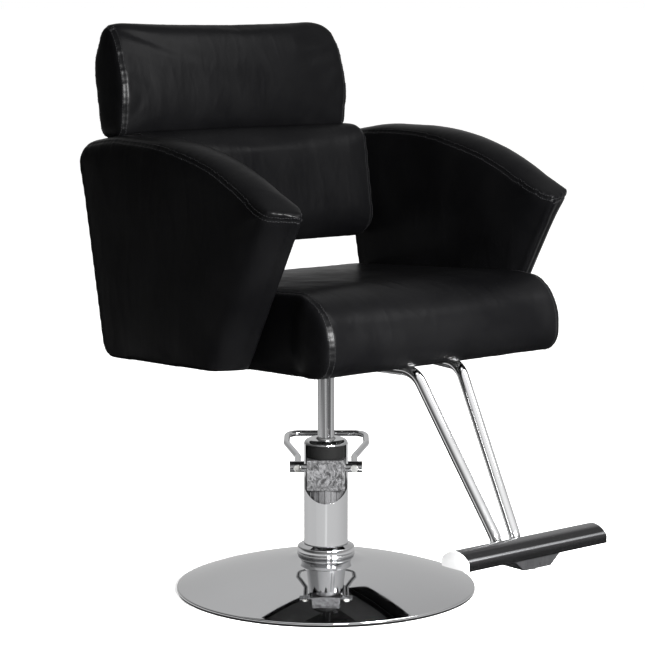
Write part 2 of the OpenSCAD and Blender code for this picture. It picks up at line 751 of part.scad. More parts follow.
base_cover();
floor_ring();
ballast_plate();
pump_foot();
base_bolts();
base_collar();
column_cover();
pump_cylinder();
pressure_tube();
foot_valve();
gland_bush();
pump_head();
pump_cap();
rod_guide();
rod_wiper();
pivot_shafts();
pump_yoke();
pedal_lever();
clamp_screws();
plunger();
plunger_spring();
piston_head();
piston_seals();
thrust_washer();
piston_rod();
seat_bracket();
bracket_bolts();
seat_board();
seat_rails();
seat_cushion();
arm_left();
arm_right();
arm_core_left();
arm_core_right();
arm_bolts();
back_studs();
back_cushion();
back_board();
back_bars();
bar_screws();
headrest_cushion();
headrest_board();
footrest_plate();
footrest_bolts();
footrest_tube_left();
footrest_tube_right();
footrest_bracket();
footrest_bar();
end_cap_left();
end_cap_right();
footrest_screws();
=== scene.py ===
"""Looks for the styling chair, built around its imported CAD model. Metres, chair facing -Y."""
import json
import math

import bmesh
import bpy
from mathutils import Matrix, Vector, noise
from mathutils.bvhtree import BVHTree
from mathutils.kdtree import KDTree


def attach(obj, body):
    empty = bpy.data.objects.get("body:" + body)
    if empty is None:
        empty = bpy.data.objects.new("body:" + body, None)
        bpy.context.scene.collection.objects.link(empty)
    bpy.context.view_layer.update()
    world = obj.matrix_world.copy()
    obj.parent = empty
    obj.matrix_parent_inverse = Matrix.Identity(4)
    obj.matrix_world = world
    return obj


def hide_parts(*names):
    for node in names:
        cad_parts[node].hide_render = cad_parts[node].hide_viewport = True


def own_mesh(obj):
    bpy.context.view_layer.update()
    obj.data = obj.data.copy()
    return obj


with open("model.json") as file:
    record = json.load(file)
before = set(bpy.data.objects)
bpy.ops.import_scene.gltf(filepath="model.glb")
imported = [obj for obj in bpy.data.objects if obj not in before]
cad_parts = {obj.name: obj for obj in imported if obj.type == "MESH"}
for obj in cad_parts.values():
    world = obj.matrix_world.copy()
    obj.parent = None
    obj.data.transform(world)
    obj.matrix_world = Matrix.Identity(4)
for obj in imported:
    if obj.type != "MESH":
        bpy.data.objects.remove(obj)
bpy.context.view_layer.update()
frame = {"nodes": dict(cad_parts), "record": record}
scene = bpy.context.scene
MM = 0.001


# ---- Camera, floor and lights ------------------------------------------------------------------
def make_camera():
    azimuth, pitch = math.radians(-39.73), math.radians(7.94)
    distance, height = 3.7447, 0.9729
    forward = Vector((-math.sin(azimuth) * math.cos(pitch), math.cos(azimuth) * math.cos(pitch),
                      -math.sin(pitch)))
    data = bpy.data.cameras.new("camera")
    data.sensor_width = 36
    data.lens = 127.6
    data.shift_x = -0.0054
    camera = bpy.data.objects.new("camera", data)
    camera.location = (math.sin(azimuth) * distance, -math.cos(azimuth) * distance, height)
    camera.rotation_euler = forward.to_track_quat("-Z", "Y").to_euler()
    scene.collection.objects.link(camera)
    scene.camera = camera


def aim(obj, target):
    obj.rotation_euler = (Vector(target) - obj.location).to_track_quat("-Z", "Y").to_euler()


def area_light(name, place, target, size, power, size_y=None):
    data = bpy.data.lights.new(name, "AREA")
    data.shape = "RECTANGLE"
    data.size = size
    data.size_y = size_y or size
    data.energy = power
    light = bpy.data.objects.new(name, data)
    light.location = place
    aim(light, target)
    scene.collection.objects.link(light)
    return light


def make_stage():
    """A white floor, soft lights, and a studio round it that is brighter in front than behind."""
    mesh = bpy.data.meshes.new("floor")
    mesh.from_pydata([(-400, -400, 0), (400, -400, 0), (400, 400, 0), (-400, 400, 0)], [], [(0, 1, 2, 3)])
    floor = bpy.data.objects.new("floor", mesh)
    scene.collection.objects.link(floor)
    paint = Shader("floor_paint", (0.86, 0.86, 0.86), 0.9)
    paint.set("Specular IOR Level", 0.0)
    paint.set("Emission Color", (1, 1, 1, 1))
    paint.set("Emission Strength", 0.5)
    mesh.materials.append(paint.material)
    floor.visible_glossy = False
    scene.world = studio()
    scene.view_settings.view_transform = "Standard"
    area_light("key", (-0.15, -2.35, 1.15), (0, 0, 0.6), 0.7, 500, 0.6)
    area_light("side", (-1.3, -2.4, 1.2), (0, 0, 0.6), 0.5, 70)
    area_light("top", (0.9, -1.3, 2.2), (0, 0, 0.6), 1.0, 30)


def studio():
    world = bpy.data.worlds.new("studio")
    world.use_nodes = True
    nodes, links = world.node_tree.nodes, world.node_tree.links

    def ramp(value, stops, mode="B_SPLINE"):
        node = nodes.new("ShaderNodeValToRGB")
        node.color_ramp.interpolation = mode
        elements = node.color_ramp.elements
        while len(elements) < len(stops):
            elements.new(0.5)
        for element, (place, level) in zip(elements, stops):
            element.position = place
            element.color = (level, level, level, 1)
        links.new(value, node.inputs[0])
        return node.outputs[0]

    def blend(factor, a, b):
        node = nodes.new("ShaderNodeMix")
        node.data_type = "RGBA"
        links.new(factor, node.inputs["Factor"])
        links.new(a, node.inputs["A"])
        links.new(b, node.inputs["B"])
        return node.outputs["Result"]

    way = nodes.new("ShaderNodeTexCoord").outputs["Generated"]
    around = nodes.new("ShaderNodeTexGradient")
    around.gradient_type = "RADIAL"
    links.new(way, around.inputs["Vector"])
    split = nodes.new("ShaderNodeSeparateXYZ")
    links.new(way, split.inputs[0])
    up = nodes.new("ShaderNodeMapRange")
    up.inputs["From Min"].default_value = -1
    links.new(split.outputs["Z"], up.inputs["Value"])
    up = up.outputs["Result"]
    walls = ramp(around.outputs["Fac"], [(0.0, 0.05), (0.1, 0.15), (0.2, 0.35), (0.42, 0.35), (0.5, 0.4),
                                         (0.57, 0.5), (0.64, 0.6), (0.71, 0.45), (0.8, 0.05), (0.93, 0.05)])
    band = ramp(around.outputs["Fac"], [(0.0, 0.76), (0.1, 0.8), (0.126, 0.82), (0.14, 1.08), (0.154, 0.82),
                                        (0.3, 0.78), (0.5, 0.62), (0.57, 0.58), (0.7, 0.58), (0.85, 0.72)],
                "LINEAR")
    ceiling = ramp(around.outputs["Fac"], [(0.0, 0.6), (0.1, 1.0), (0.35, 1.0), (0.5, 0.5), (0.57, 0.45),
                                           (0.64, 0.66), (0.78, 0.6), (0.85, 0.3), (0.95, 0.4)])
    dark = ramp(up, [(0.0, 0.035), (0.3, 0.035)])
    high = ramp(up, [(0.6, 0.0), (0.78, 1.0)])
    low = ramp(up, [(0.35, 1.0), (0.365, 0.0), (0.415, 0.0), (0.43, 0.0)], "LINEAR")
    in_band = ramp(up, [(0.345, 0.0), (0.36, 1.0), (0.415, 1.0), (0.43, 0.0)], "LINEAR")
    colour = blend(high, walls, ceiling)
    colour = blend(low, colour, dark)
    colour = blend(in_band, colour, band)
    lit = nodes["Background"]
    links.new(colour, lit.inputs["Color"])
    lit.inputs["Strength"].default_value = 1.0
    seen = nodes.new("ShaderNodeBackground")
    seen.inputs["Color"].default_value = (1, 1, 1, 1)
    switch = nodes.new("ShaderNodeMixShader")
    links.new(nodes.new("ShaderNodeLightPath").outputs["Is Camera Ray"], switch.inputs[0])
    links.new(lit.outputs[0], switch.inputs[1])
    links.new(seen.outputs[0], switch.inputs[2])
    links.new(switch.outputs[0], nodes["World Output"].inputs["Surface"])
    return world


# ---- Materials -----------------------------------------------------------------------------------
class Shader:
    """A Principled material with short calls for the nodes that feed it."""

    def __init__(self, name, colour, roughness, metallic=0.0):
        self.material = bpy.data.materials.new(name)
        self.material.use_nodes = True
        self.material.diffuse_color = (*colour, 1)
        self.tree = self.material.node_tree
        self.bsdf = self.tree.nodes["Principled BSDF"]
        self.set("Base Color", (*colour, 1))
        self.set("Roughness", roughness)
        self.set("Metallic", metallic)
        self.coords = self.node("ShaderNodeTexCoord").outputs["Object"]
        self.normal = None

    def node(self, kind):
        return self.tree.nodes.new(kind)

    def link(self, a, b):
        self.tree.links.new(a, b)

    def set(self, socket, value):
        self.bsdf.inputs[socket].default_value = value

    def mapped(self, scale, turn=(0, 0, 0)):
        mapping = self.node("ShaderNodeMapping")
        mapping.inputs["Scale"].default_value = scale
        mapping.inputs["Rotation"].default_value = turn
        self.link(self.coords, mapping.inputs["Vector"])
        return mapping.outputs["Vector"]

    def noise(self, scale, detail=3, distortion=0.0, stretch=(1, 1, 1), turn=(0, 0, 0), rough=0.5):
        tex = self.node("ShaderNodeTexNoise")
        tex.inputs["Scale"].default_value = scale
        tex.inputs["Detail"].default_value = detail
        tex.inputs["Roughness"].default_value = rough
        tex.inputs["Distortion"].default_value = distortion
        self.link(self.mapped(stretch, turn), tex.inputs["Vector"])
        return tex.outputs["Fac"]

    def cells(self, scale, feature="DISTANCE_TO_EDGE"):
        tex = self.node("ShaderNodeTexVoronoi")
        tex.feature = feature
        tex.inputs["Scale"].default_value = scale
        self.link(self.coords, tex.inputs["Vector"])
        return tex.outputs["Distance"]

    def ramp(self, value, low, high, out_low, out_high):
        node = self.node("ShaderNodeMapRange")
        for name, number in (("From Min", low), ("From Max", high), ("To Min", out_low), ("To Max", out_high)):
            node.inputs[name].default_value = number
        self.link(value, node.inputs["Value"])
        return node.outputs["Result"]

    def mix(self, factor, a, b):
        node = self.node("ShaderNodeMix")
        node.data_type = "RGBA"
        node.inputs["A"].default_value = (*a, 1)
        node.inputs["B"].default_value = (*b, 1)
        self.link(factor, node.inputs["Factor"])
        return node.outputs["Result"]

    def feed(self, socket, output):
        self.link(output, self.bsdf.inputs[socket])

    def bump(self, height, strength, distance):
        node = self.node("ShaderNodeBump")
        node.inputs["Strength"].default_value = strength
        node.inputs["Distance"].default_value = distance
        self.link(height, node.inputs["Height"])
        if self.normal is not None:
            self.link(self.normal, node.inputs["Normal"])
        self.normal = node.outputs["Normal"]
        self.link(self.normal, self.bsdf.inputs["Normal"])


def plain(name, colour, roughness):
    return Shader(name, colour, roughness).material


def leatherette():
    s = Shader("leatherette", (0.0009, 0.0009, 0.001), 0.42)
    s.set("Specular IOR Level", 0.036)
    patches = s.noise(9, 4, 0.4)
    s.feed("Base Color", s.mix(s.ramp(patches, 0.35, 0.7, 0, 1), (0.0007, 0.0007, 0.0008), (0.0013, 0.0013, 0.0014)))
    s.feed("Roughness", s.ramp(s.noise(14, 5, 0.8, (1, 1, 0.45)), 0.3, 0.7, 0.29, 0.38))
    s.bump(s.noise(16, 4, 1.1, (1.5, 1.5, 0.3), rough=0.55), 0.12, 0.0022)
    s.bump(s.noise(48, 4, 1.4, (1.4, 1.4, 0.5)), 0.14, 0.0007)
    s.bump(s.cells(820), 0.2, 0.00016)
    s.bump(s.noise(1600, 2), 0.1, 0.00006)
    return s.material


def thread():
    s = Shader("thread", (0.008, 0.008, 0.0085), 0.6)
    s.set("Specular IOR Level", 0.12)
    s.bump(s.noise(3000, 2), 0.3, 0.0001)
    return s.material


def chrome():
    s = Shader("chrome", (0.64, 0.645, 0.655), 0.04, 1.0)
    s.feed("Roughness", s.ramp(s.noise(22, 5, 0.5), 0.35, 0.75, 0.03, 0.075))
    s.feed("Base Color", s.mix(s.noise(7, 2), (0.62, 0.625, 0.635), (0.67, 0.672, 0.68)))
    s.bump(s.noise(34, 3), 0.02, 0.0005)
    return s.material


# Painted light: a lighter copy of the chrome plating for the footrest tubes, made brighter to stand in for the light
# they catch.
def lit_chrome_copy():
    s = Shader("lit_chrome_copy", (0.88, 0.882, 0.89), 0.05, 1.0)
    s.feed("Roughness", s.ramp(s.noise(30, 4, 0.4), 0.35, 0.75, 0.035, 0.08))
    return s.material


def streaked_reflection_chrome():
    """Hard chrome on a ground rod: dark and light streaks along its length painted into its colour as painted
    reflection, with fine grinding marks in its roughness.
    """
    s = Shader("streaked_reflection_chrome", (0.5, 0.503, 0.51), 0.12, 1.0)
    grind_marks_and_reflection_streaks = s.noise(170, 2, 0, (1, 1, 0.01))
    # Painted reflection: the base colour runs from dark to light in streaks along the rod; the same streaks vary the
    # roughness as grinding marks.
    s.feed("Base Color", s.mix(s.ramp(grind_marks_and_reflection_streaks, 0.42, 0.6, 0, 1), (0.15, 0.151, 0.155), (0.62, 0.622, 0.63)))
    s.feed("Roughness", s.ramp(grind_marks_and_reflection_streaks, 0.3, 0.7, 0.08, 0.18))
    return s.material


def turned_steel():
    s = Shader("turned_steel", (0.5, 0.5, 0.51), 0.28, 1.0)
    s.feed("Roughness", s.ramp(s.noise(160, 4, 0, (1, 1, 12)), 0.3, 0.7, 0.22, 0.4))
    s.bump(s.noise(400, 3, 0, (0.3, 0.3, 8)), 0.12, 0.0002)
    return s.material


def zinc():
    s = Shader("zinc_plate", (0.62, 0.62, 0.6), 0.3, 1.0)
    s.feed("Base Color", s.mix(s.noise(90, 4), (0.52, 0.53, 0.53), (0.72, 0.71, 0.67)))
    s.feed("Roughness", s.ramp(s.noise(130, 4), 0.3, 0.7, 0.2, 0.42))
    return s.material


def cast_metal():
    s = Shader("cast_metal", (0.2, 0.2, 0.205), 0.42, 0.85)
    mottled = s.noise(120, 6, 1.5, (1, 1, 0.7), rough=0.65)
    s.feed("Base Color", s.mix(s.ramp(mottled, 0.38, 0.62, 0, 1), (0.035, 0.035, 0.036), (0.125, 0.125, 0.128)))
    s.feed("Roughness", s.ramp(mottled, 0.3, 0.7, 0.3, 0.52))
    s.bump(mottled, 0.5, 0.0012)
    s.bump(s.noise(650, 4), 0.3, 0.0003)
    return s.material


def pump_paint():
    s = Shader("pump_paint", (0.16, 0.16, 0.165), 0.4, 0.35)
    s.feed("Base Color", s.mix(s.noise(60, 4), (0.03, 0.03, 0.031), (0.058, 0.058, 0.06)))
    s.bump(s.noise(700, 3), 0.2, 0.0002)
    return s.material


def black_plastic():
    s = Shader("black_plastic", (0.004, 0.004, 0.004), 0.6)
    s.set("Specular IOR Level", 0.03)
    s.feed("Roughness", s.ramp(s.noise(60, 4), 0.3, 0.7, 0.5, 0.7))
    s.bump(s.noise(900, 3), 0.18, 0.0002)
    return s.material


def rubber():
    s = Shader("rubber", (0.015, 0.015, 0.015), 0.75)
    s.feed("Base Color", s.mix(s.noise(70, 5), (0.01, 0.01, 0.01), (0.03, 0.03, 0.03)))
    s.bump(s.noise(500, 4), 0.3, 0.0003)
    return s.material


def bronze():
    s = Shader("bronze", (0.6, 0.43, 0.24), 0.3, 1.0)
    s.feed("Base Color", s.mix(s.noise(80, 4), (0.52, 0.36, 0.19), (0.68, 0.5, 0.3)))
    s.bump(s.noise(500, 2, 0, (0.3, 0.3, 6)), 0.15, 0.0002)
    return s.material


def plywood():
    s = Shader("plywood", (0.62, 0.46, 0.29), 0.6)
    grain = s.noise(9, 8, 2.2, (12, 1.2, 1.2), rough=0.6)
    s.feed("Base Color", s.mix(s.ramp(grain, 0.3, 0.7, 0, 1), (0.46, 0.32, 0.18), (0.74, 0.58, 0.38)))
    s.bump(grain, 0.25, 0.0004)
    return s.material


def painted_board():
    s = Shader("painted_board", (0.012, 0.012, 0.012), 0.55)
    grain = s.noise(9, 8, 2.2, (12, 1.2, 1.2), rough=0.6)
    s.feed("Base Color", s.mix(s.ramp(grain, 0.3, 0.7, 0, 1), (0.008, 0.008, 0.008), (0.018, 0.018, 0.018)))
    s.bump(grain, 0.3, 0.0004)
    return s.material


def black_paint():
    s = Shader("black_paint", (0.004, 0.004, 0.004), 0.5)
    s.set("Specular IOR Level", 0.03)
    s.feed("Base Color", s.mix(s.noise(50, 4), (0.003, 0.003, 0.003), (0.007, 0.007, 0.007)))
    s.bump(s.noise(520, 3), 0.35, 0.0003)
    return s.material


def graphite():
    s = Shader("graphite", (0.13, 0.13, 0.135), 0.32, 0.8)
    s.feed("Base Color", s.mix(s.noise(40, 4, 0, (6, 1, 1)), (0.022, 0.022, 0.023), (0.045, 0.045, 0.047)))
    s.feed("Roughness", s.ramp(s.noise(60, 4), 0.3, 0.7, 0.25, 0.4))
    s.bump(s.noise(600, 3), 0.12, 0.0002)
    return s.material


def gloss_bar():
    """Dark polished bar with painted reflection: darker and lighter lines along its length, set by depth across it.
    """
    s = Shader("gloss_bar", (0.06, 0.06, 0.063), 0.14, 0.9)
    split = s.node("ShaderNodeSeparateXYZ")
    s.link(s.coords, split.inputs[0])
    across = s.ramp(split.outputs["Y"], -0.5035, -0.446, 0, 1)
    painted_reflection_bands = s.node("ShaderNodeValToRGB")
    # Painted reflection bands: light lines where the dome and the lip would catch the light, dark lines between.
    stops = [(0.0, 0.016), (0.03, 0.03), (0.045, 0.2), (0.07, 0.17), (0.09, 0.02), (0.24, 0.02), (0.34, 0.09),
             (0.44, 0.1), (0.56, 0.018), (0.68, 0.03), (0.76, 0.16), (0.82, 0.03), (0.9, 0.025), (0.95, 0.25),
             (1.0, 0.05)]
    elements = painted_reflection_bands.color_ramp.elements
    while len(elements) < len(stops):
        elements.new(0.5)
    for element, (place, level) in zip(elements, stops):
        element.position = place
        element.color = (level, level, level * 1.03, 1)
    s.link(across, painted_reflection_bands.inputs[0])
    s.feed("Base Color", painted_reflection_bands.outputs[0])
    s.feed("Roughness", s.ramp(s.noise(30, 5, 0, (0.2, 5, 5)), 0.3, 0.7, 0.1, 0.2))
    s.bump(s.noise(120, 3, 0, (0.05, 6, 6)), 0.03, 0.0002)
    return s.material


def satin_silver():
    s = Shader("satin_silver", (0.86, 0.86, 0.865), 0.36, 0.55)
    s.feed("Base Color", s.mix(s.noise(60, 4), (0.5, 0.5, 0.505), (0.58, 0.58, 0.58)))
    s.bump(s.noise(700, 3), 0.1, 0.0002)
    return s.material


MATERIALS = {
    "chrome_plate": chrome(), "black_leatherette": leatherette(), "black_plastic": black_plastic(),
    "black_rubber": rubber(), "cast_grey": cast_metal(), "pump_grey": pump_paint(),
    "machined_steel": turned_steel(), "zinc_screws": zinc(), "bearing_bronze": bronze(),
    "plywood": plywood(), "black_board": painted_board(), "black_steel": black_paint(), "gloss_bar": gloss_bar(),
    "satin_silver": satin_silver(),
}
THREAD = thread()
GRAPHITE = graphite()
STREAKED_REFLECTION_CHROME = streaked_reflection_chrome()
LIT_CHROME_COPY = lit_chrome_copy()
SLOT_OF = {s["node"]: s["material_slot"] for s in frame["record"]["subparts"]}


def dress_cad_nodes():
    for name, obj in frame["nodes"].items():
        if obj.material_slots:
            for place in obj.material_slots:
                place.material = MATERIALS[SLOT_OF[name]]
        else:
            obj.data.materials.append(MATERIALS[SLOT_OF[name]])


# ---- Mesh helpers ------------------------------------------------------------------------------------
def add_piece(name, mesh, body, slot, replaced=(), material=None, sharp=32):
    mesh.materials.clear()
    mesh.materials.append(material or MATERIALS[slot])
    mesh.polygons.foreach_set("use_smooth", [True] * len(mesh.polygons))
    if sharp:
        mesh.set_sharp_from_angle(angle=math.radians(sharp))
    obj = bpy.data.objects.new(name, mesh)
    scene.collection.objects.link(obj)
    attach(obj, body)
    if replaced:
        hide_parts(*replaced)
    return obj


def mesh_from(name, verts, faces):
    mesh = bpy.data.meshes.new(name)
    mesh.from_pydata([tuple(v) for v in verts], [], faces)
    mesh.validate()
    mesh.update()
    return mesh


def round_corners(points, radius, steps=5, closed=True):
    """A 2-D outline with its corners rounded; a point is (x, y) or (x, y, its own radius)."""
    out = []
    count = len(points)
    for i, point in enumerate(points):
        here = Vector(point[:2])
        r = point[2] if len(point) > 2 else radius
        if (not closed and i in (0, count - 1)) or r <= 0:
            out.append(here)
            continue
        a = (Vector(points[i - 1][:2]) - here).normalized()
        b = (Vector(points[(i + 1) % count][:2]) - here).normalized()
        half = a.angle(b) / 2
        if half > math.radians(89):
            out.append(here)
            continue
        reach = r / math.tan(half)
        centre = here + (a + b).normalized() * r / math.sin(half)
        start, end = here + a * reach - centre, here + b * reach - centre
        for k in range(steps + 1):
            out.append(centre + start.lerp(end, k / steps).normalized() * r)
    return out


def lathe(name, outline, sides=192):
    """A closed (radius, height) outline in mm, turned about Z."""
    rings = len(outline)
    verts, faces = [], []
    for k in range(sides):
        a = 2 * math.pi * k / sides
        verts += [(p[0] * MM * math.cos(a), p[0] * MM * math.sin(a), p[1] * MM) for p in outline]
    for k in range(sides):
        here, there = k * rings, (k + 1) % sides * rings
        for i in range(rings):
            j = (i + 1) % rings
            faces.append((here + i, there + i, there + j, here + j))
    mesh = mesh_from(name, verts, faces)
    outward(mesh)
    return mesh


def outward(mesh):
    bm = bmesh.new()
    bm.from_mesh(mesh)
    bmesh.ops.recalc_face_normals(bm, faces=bm.faces)
    bm.to_mesh(mesh)
    bm.free()


def fillet_path(corners, step_deg=4):
    """A 3-D path through corners (x, y, z, bend radius), in mm, returned in metres."""
    points = [Vector(c[:3]) for c in corners]
    out = [points[0]]
    for i in range(1, len(points) - 1):
        here, r = points[i], corners[i][3]
        a = (points[i - 1] - here).normalized()
        b = (points[i + 1] - here).normalized()
        half = a.angle(b) / 2
        reach = r / math.tan(half)
        centre = here + (a + b).normalized() * r / math.sin(half)
        start, end = here + a * reach - centre, here + b * reach - centre
        turn = math.pi - 2 * half
        steps = max(3, int(math.degrees(turn) / step_deg))
        for k in range(steps + 1):
            t = k / steps
            arc = (start * math.sin((1 - t) * turn) + end * math.sin(t * turn)) / math.sin(turn)
            out.append(centre + arc)
    out.append(points[-1])
    return [p * MM for p in out]


def sweep(name, path, radius, sides=28, inner=0.0):
    """A round rod along a path; with an inner radius it is a tube with open bores at its ends."""
    frames = []
    tangent = (path[1] - path[0]).normalized()
    side = tangent.orthogonal().normalized()
    for i, point in enumerate(path):
        ahead = path[min(i + 1, len(path) - 1)] - path[max(i - 1, 0)]
        new = ahead.normalized()
        side = tangent.rotation_difference(new) @ side
        tangent = new
        frames.append((point, side.copy(), tangent.cross(side)))
    verts, faces = [], []

    def tube(r, flip):
        base = len(verts)
        for point, u, v in frames:
            for k in range(sides):
                a = 2 * math.pi * k / sides
                verts.append(point + (u * math.cos(a) + v * math.sin(a)) * r)
        for i in range(len(frames) - 1):
            for k in range(sides):
                m = (k + 1) % sides
                quad = (base + i * sides + k, base + (i + 1) * sides + k,
                        base + (i + 1) * sides + m, base + i * sides + m)
                faces.append(quad[::-1] if flip else quad)
        return base

    out = tube(radius, False)
    last = (len(frames) - 1) * sides
    if inner:
        inn = tube(inner, True)
        for k in range(sides):
            m = (k + 1) % sides
            faces.append((out + k, out + m, inn + m, inn + k))
            faces.append((out + last + m, out + last + k, inn + last + k, inn + last + m))
    else:
        faces.append(tuple(range(out, out + sides)))
        faces.append(tuple(reversed(range(out + last, out + last + sides))))
    mesh = mesh_from(name, verts, faces)
    outward(mesh)
    return mesh


def bevelled(obj, width, segments=3, angle=35):
    mod = obj.modifiers.new("bevel", "BEVEL")
    mod.width = width
    mod.segments = segments
    mod.limit_method = "ANGLE"
    mod.angle_limit = math.radians(angle)
    mod.harden_normals = True
    return obj


def refined(node, body, name=None, bevel=0.0, material=None, sharp=30):
    """A CAD node's shape as a new piece, with softened edges."""
    bm = bmesh.new()
    bm.from_mesh(frame["nodes"][node].data)
    bmesh.ops.remove_doubles(bm, verts=bm.verts, dist=2e-6)
    bmesh.ops.dissolve_limit(bm, angle_limit=math.radians(0.5), verts=bm.verts, edges=bm.edges)
    mesh = bpy.data.meshes.new(name or node + "_detail")
    bm.to_mesh(mesh)
    bm.free()
    obj = add_piece(mesh.name, mesh, body, SLOT_OF[node], [node], material, sharp)
    if bevel:
        bevelled(obj, bevel)
    return obj


def applied(obj):
    """Fixes the modifiers of obj into its mesh."""
    graph = bpy.context.evaluated_depsgraph_get()
    graph.update()
    mesh = bpy.data.meshes.new_from_object(obj.evaluated_get(graph))
    obj.modifiers.clear()
    obj.data = mesh
    return obj


# ---- Upholstery ------------------------------------------------------------------------------------------
def inflate(obj, pinned, cap, pressure=4.0, frames=16, stiffness=18):
    """Swells a cushion as cloth under pressure, held at the vertices in pinned."""
    mesh = obj.data
    group = obj.vertex_groups.new(name="pin")
    for index, weight in pinned.items():
        group.add([index], weight, "REPLACE")
    before = [v.co.copy() for v in mesh.vertices]
    mod = obj.modifiers.new("cloth", "CLOTH")
    cloth = mod.settings
    cloth.quality = 6
    cloth.mass = 0.25
    cloth.tension_stiffness = stiffness
    cloth.compression_stiffness = stiffness
    cloth.shear_stiffness = stiffness * 0.6
    cloth.bending_stiffness = 0.6
    cloth.use_pressure = True
    cloth.uniform_pressure_force = pressure
    cloth.vertex_group_mass = "pin"
    cloth.effector_weights.gravity = 0
    mod.collision_settings.use_collision = False
    mod.point_cache.frame_start = 1
    mod.point_cache.frame_end = frames
    for number in range(1, frames + 1):
        scene.frame_set(number)
    applied(obj)
    scene.frame_set(1)
    for vertex, start in zip(obj.data.vertices, before):
        move = vertex.co - start
        length = move.length
        if length > 1e-9:
            vertex.co = start + move * (cap * math.tanh(length / cap) / length)
    obj.vertex_groups.clear()


def dense(path, spacing=0.002, closed=False):
    points = list(path) + ([path[0]] if closed else [])
    out = []
    for a, b in zip(points, points[1:]):
        steps = max(1, int((b - a).length / spacing))
        out += [a.lerp(b, k / steps) for k in range(steps)]
    if not closed:
        out.append(points[-1])
    return out


def tree_of(points):
    tree = KDTree(len(points))
    for i, p in enumerate(points):
        tree.insert(p, i)
    tree.balance()
    return tree


def groove(mesh, paths, depth, width, pucker=0.1, pitch=0.011):
    """Presses a seam into a mesh along each path, with small puckers along it."""
    points, along = [], []
    for path in paths:
        run = 0.0
        for i, p in enumerate(path):
            run += (p - path[i - 1]).length if i else 0
            points.append(p)
            along.append(run)
    tree = tree_of(points)
    normals = [v.normal.copy() for v in mesh.vertices]
    for vertex, normal in zip(mesh.vertices, normals):
        _, index, distance = tree.find(vertex.co)
        if distance > width * 3:
            continue
        press = math.exp(-(distance / width) ** 2)
        ripple = math.sin(2 * math.pi * along[index] / pitch) + 0.6 * math.sin(2 * math.pi * along[index] / (pitch * 2.7) + 1)
        near = math.exp(-(distance / (width * 2.2)) ** 2)
        vertex.co -= normal * (depth * press + depth * pucker * ripple * near)


def surface_of(obj):
    return BVHTree.FromPolygons([v.co for v in obj.data.vertices], [p.vertices for p in obj.data.polygons])


STITCH = [(-1.0, 0.0), (-0.82, 0.62), (-0.3, 0.95), (0.3, 0.95), (0.82, 0.62), (1.0, 0.0)]


def stitch_row(bm, surface, path, offset, length=0.0031, pitch=0.0045, radius=0.00034):
    """Stitches lying on a surface beside a path, at a signed distance from it."""
    rail = []
    for i in range(0, len(path)):
        here = path[i]
        ahead = path[min(i + 2, len(path) - 1)] - path[max(i - 2, 0)]
        if ahead.length < 1e-9:
            continue
        place, normal, _, _ = surface.find_nearest(here)
        side = normal.cross(ahead.normalized()).normalized()
        place, normal, _, _ = surface.find_nearest(place + side * offset)
        rail.append((place, normal))
    run, due = 0.0, pitch / 2
    for (a, na), (b, nb) in zip(rail, rail[1:]):
        gap = (b - a).length
        while gap > 1e-9 and run + gap >= due:
            t = (due - run) / gap
            add_stitch(bm, a.lerp(b, t), (b - a).normalized(), na.lerp(nb, t).normalized(), length, radius)
            due += pitch
        run += gap


def add_stitch(bm, centre, along, normal, length, radius, sides=6):
    side = normal.cross(along).normalized()
    rings = []
    for t, wide in STITCH:
        middle = centre + along * (t * length / 2) + normal * radius * (0.55 - 0.9 * t * t)
        if wide == 0.0:
            rings.append([bm.verts.new(middle)])
            continue
        rings.append([bm.verts.new(middle + (side * math.cos(2 * math.pi * k / sides)
                                             + normal * math.sin(2 * math.pi * k / sides)) * radius * wide)
                      for k in range(sides)])
    for low, high in zip(rings, rings[1:]):
        for k in range(sides):
            m = (k + 1) % sides
            if len(low) == 1:
                bm.faces.new((low[0], high[m], high[k]))
            elif len(high) == 1:
                bm.faces.new((low[k], low[m], high[0]))
            else:
                bm.faces.new((low[k], low[m], high[m], high[k]))


def stitches(name, obj, rows):
    surface = surface_of(obj)
    bm = bmesh.new()
    for path, offset in rows:
        stitch_row(bm, surface, path, offset)
    bmesh.ops.recalc_face_normals(bm, faces=bm.faces)
    mesh = bpy.data.meshes.new(name)
    bm.to_mesh(mesh)
    bm.free()
    return add_piece(name, mesh, "seat", "black_leatherette", material=THREAD, sharp=0)


def outline_mm(corners, steps=10):
    return round_corners(corners, 0, steps)


def prism(outline, x0, x1):
    """An outline of (y, z) points in mm, as a solid from x0 to x1."""
    count = len(outline)
    bm = bmesh.new()
    ends = [[bm.verts.new((x * MM, p[0] * MM, p[1] * MM)) for p in outline] for x in (x0, x1)]
    bm.faces.new(ends[0])
    bm.faces.new(reversed(ends[1]))
    for i in range(count):
        j = (i + 1) % count
        bm.faces.new((ends[0][j], ends[0][i], ends[1][i], ends[1][j]))
    bmesh.ops.recalc_face_normals(bm, faces=bm.faces)
    return bm


def box_mesh(name, low, high):
    bm = bmesh.new()
    bmesh.ops.create_cube(bm, size=1)
    for v in bm.verts:
        v.co = Vector([(low[i] + high[i]) / 2 + v.co[i] * (high[i] - low[i]) for i in range(3)])
    mesh = bpy.data.meshes.new(name)
    bm.to_mesh(mesh)
    bm.free()
    return mesh


